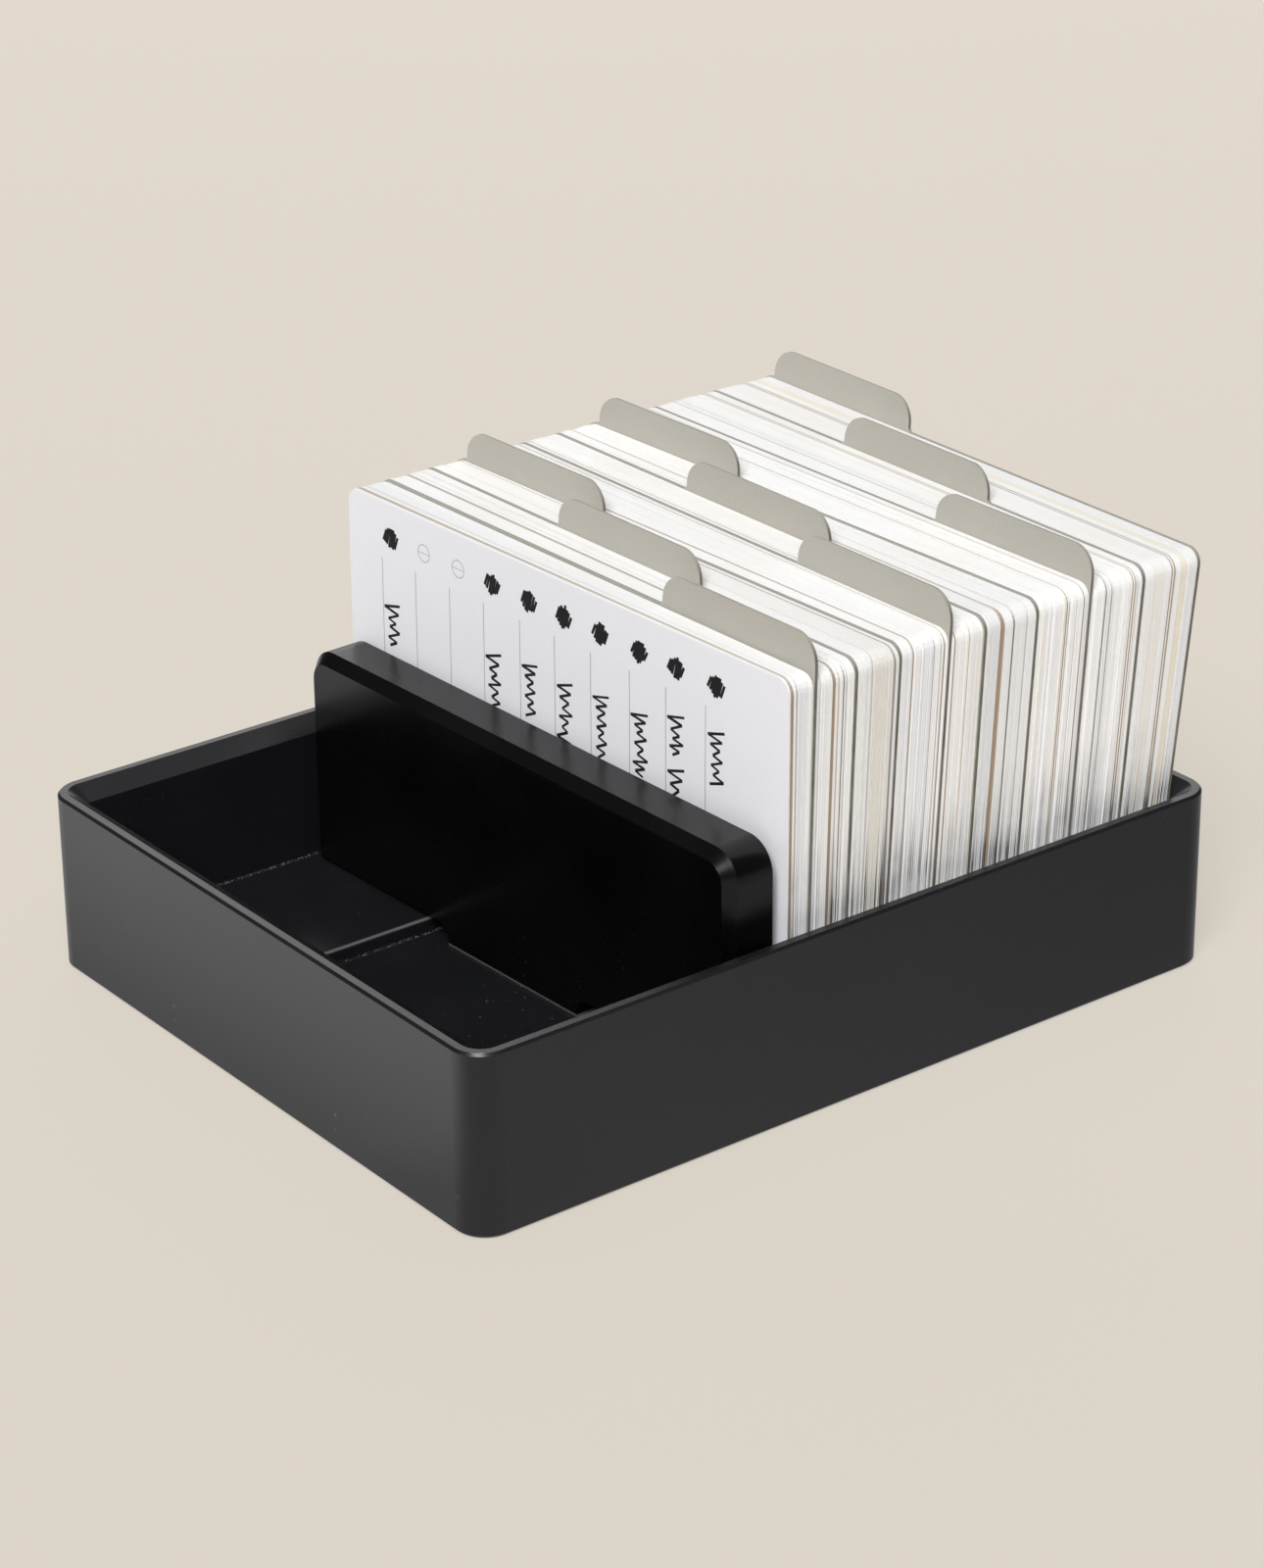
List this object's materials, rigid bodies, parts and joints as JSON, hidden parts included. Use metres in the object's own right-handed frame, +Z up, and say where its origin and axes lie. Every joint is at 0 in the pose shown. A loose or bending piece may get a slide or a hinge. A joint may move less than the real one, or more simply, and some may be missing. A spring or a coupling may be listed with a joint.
{
  "type": "index card tray",
  "caption": "Open metal desk tray for index cards with a sliding block that holds the upright cards and tab dividers against the back wall.",
  "frame": {"origin": "centre of the tray's underside, on the surface it stands on", "axes": "+Z up, +Y from the front wall to the back wall along the tray's length, +X to the right along the cards' long side"},
  "size_m": [0.1394, 0.1738, 0.0901],
  "materials": {
    "tray_aluminium": "satin black anodised, bead blasted",
    "block_aluminium": "satin black anodised, bead blasted",
    "front_card": "uncoated card with thin ruled lines and pen marks",
    "white_cards": "uncoated white card",
    "brown_cards": "uncoated brown kraft card",
    "cream_cards": "uncoated cream card",
    "tab_dividers": "warm grey board with dark cut edges"
  },
  "bodies": {
    "tray": {"tray": "tray_aluminium"},
    "sliding_block": {"sliding_block": "block_aluminium"},
    "front_card": {"front_card": "front_card"},
    "pack_1": {"card_pack_1": "white_cards", "brown_cards_1": "brown_cards"},
    "divider_1": {"divider_1": "tab_dividers"},
    "pack_2": {"card_pack_2": "white_cards", "brown_cards_2": "brown_cards"},
    "divider_2": {"divider_2": "tab_dividers"},
    "pack_3": {"card_pack_3": "white_cards", "brown_cards_3": "brown_cards"},
    "divider_3": {"divider_3": "tab_dividers"},
    "pack_4": {"card_pack_4": "white_cards", "brown_cards_4": "brown_cards"},
    "divider_4": {"divider_4": "tab_dividers"},
    "pack_5": {"card_pack_5": "white_cards", "brown_cards_5": "brown_cards"},
    "divider_5": {"divider_5": "tab_dividers"},
    "pack_6": {"card_pack_6": "white_cards", "brown_cards_6": "brown_cards"},
    "divider_6": {"divider_6": "tab_dividers"},
    "pack_7": {"card_pack_7": "white_cards", "brown_cards_7": "brown_cards"},
    "divider_7": {"divider_7": "tab_dividers"},
    "pack_8": {"card_pack_8": "white_cards", "brown_cards_8": "brown_cards"},
    "divider_8": {"divider_8": "tab_dividers"},
    "pack_9": {"card_pack_9": "white_cards", "brown_cards_9": "brown_cards", "cream_cards_9": "cream_cards"},
    "divider_9": {"divider_9": "tab_dividers"}
  },
  "joints": [
    {"name": "block_slide", "type": "slide", "parent": "tray", "child": "sliding_block", "axis": [0, 1, 0], "range_m": [-0.05, 0]},
    {"name": "front_card_lift", "type": "slide", "parent": "tray", "child": "front_card", "axis": [-0.0003, 0.007, 1], "range_m": [0, 0.09]},
    {"name": "pack_1_lift", "type": "slide", "parent": "tray", "child": "pack_1", "axis": [-0.0007, 0.0161, 0.9999], "range_m": [0, 0.09]},
    {"name": "divider_1_lift", "type": "slide", "parent": "tray", "child": "divider_1", "axis": [-0.0008, 0.0253, 0.9997], "range_m": [0, 0.09]},
    {"name": "pack_2_lift", "type": "slide", "parent": "tray", "child": "pack_2", "axis": [-0.0009, 0.0305, 0.9995], "range_m": [0, 0.09]},
    {"name": "divider_2_lift", "type": "slide", "parent": "tray", "child": "divider_2", "axis": [-0.001, 0.0358, 0.9994], "range_m": [0, 0.09]},
    {"name": "pack_3_lift", "type": "slide", "parent": "tray", "child": "pack_3", "axis": [-0.0016, 0.0432, 0.9991], "range_m": [0, 0.09]},
    {"name": "divider_3_lift", "type": "slide", "parent": "tray", "child": "divider_3", "axis": [-0.0024, 0.0505, 0.9987], "range_m": [0, 0.09]},
    {"name": "pack_4_lift", "type": "slide", "parent": "tray", "child": "pack_4", "axis": [-0.0019, 0.054, 0.9985], "range_m": [0, 0.09]},
    {"name": "divider_4_lift", "type": "slide", "parent": "tray", "child": "divider_4", "axis": [-0.0013, 0.0575, 0.9983], "range_m": [0, 0.09]},
    {"name": "pack_5_lift", "type": "slide", "parent": "tray", "child": "pack_5", "axis": [-0.0013, 0.0589, 0.9983], "range_m": [0, 0.09]},
    {"name": "divider_5_lift", "type": "slide", "parent": "tray", "child": "divider_5", "axis": [-0.0014, 0.0602, 0.9982], "range_m": [0, 0.09]},
    {"name": "pack_6_lift", "type": "slide", "parent": "tray", "child": "pack_6", "axis": [-0.0023, 0.0649, 0.9979], "range_m": [0, 0.09]},
    {"name": "divider_6_lift", "type": "slide", "parent": "tray", "child": "divider_6", "axis": [-0.0034, 0.0697, 0.9976], "range_m": [0, 0.09]},
    {"name": "pack_7_lift", "type": "slide", "parent": "tray", "child": "pack_7", "axis": [-0.0029, 0.071, 0.9975], "range_m": [0, 0.09]},
    {"name": "divider_7_lift", "type": "slide", "parent": "tray", "child": "divider_7", "axis": [-0.0024, 0.0723, 0.9974], "range_m": [0, 0.09]},
    {"name": "pack_8_lift", "type": "slide", "parent": "tray", "child": "pack_8", "axis": [-0.0019, 0.0789, 0.9969], "range_m": [0, 0.09]},
    {"name": "divider_8_lift", "type": "slide", "parent": "tray", "child": "divider_8", "axis": [-0.0013, 0.0854, 0.9963], "range_m": [0, 0.09]},
    {"name": "pack_9_lift", "type": "slide", "parent": "tray", "child": "pack_9", "axis": [-0.0013, 0.1002, 0.995], "range_m": [0, 0.09]},
    {"name": "divider_9_lift", "type": "slide", "parent": "tray", "child": "divider_9", "axis": [-0.0012, 0.1149, 0.9934], "range_m": [0, 0.09]}
  ]
}
